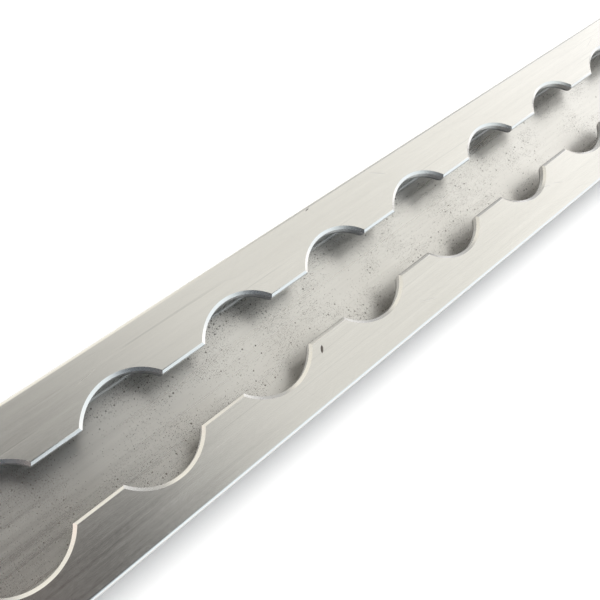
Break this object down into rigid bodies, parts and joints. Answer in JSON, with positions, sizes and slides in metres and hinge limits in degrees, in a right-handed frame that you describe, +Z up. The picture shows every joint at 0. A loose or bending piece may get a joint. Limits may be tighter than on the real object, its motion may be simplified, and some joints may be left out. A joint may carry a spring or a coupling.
{
  "type": "cargo track rail",
  "caption": "Flat aluminium tie-down rail: a T-shaped channel under two lips, with evenly spaced round openings in the slot that let stud fittings drop in and slide.",
  "frame": {"origin": "middle of the flat underside", "axes": "+X along the rail, +Y across it, +Z up out of the slot"},
  "size_m": [0.3048, 0.0328, 0.0111],
  "materials": {
    "rail_metal": "satin mill finish, brushed lengthwise, lightly scuffed"
  },
  "bodies": {
    "root": {"track_rail": "rail_metal"}
  },
  "joints": []
}
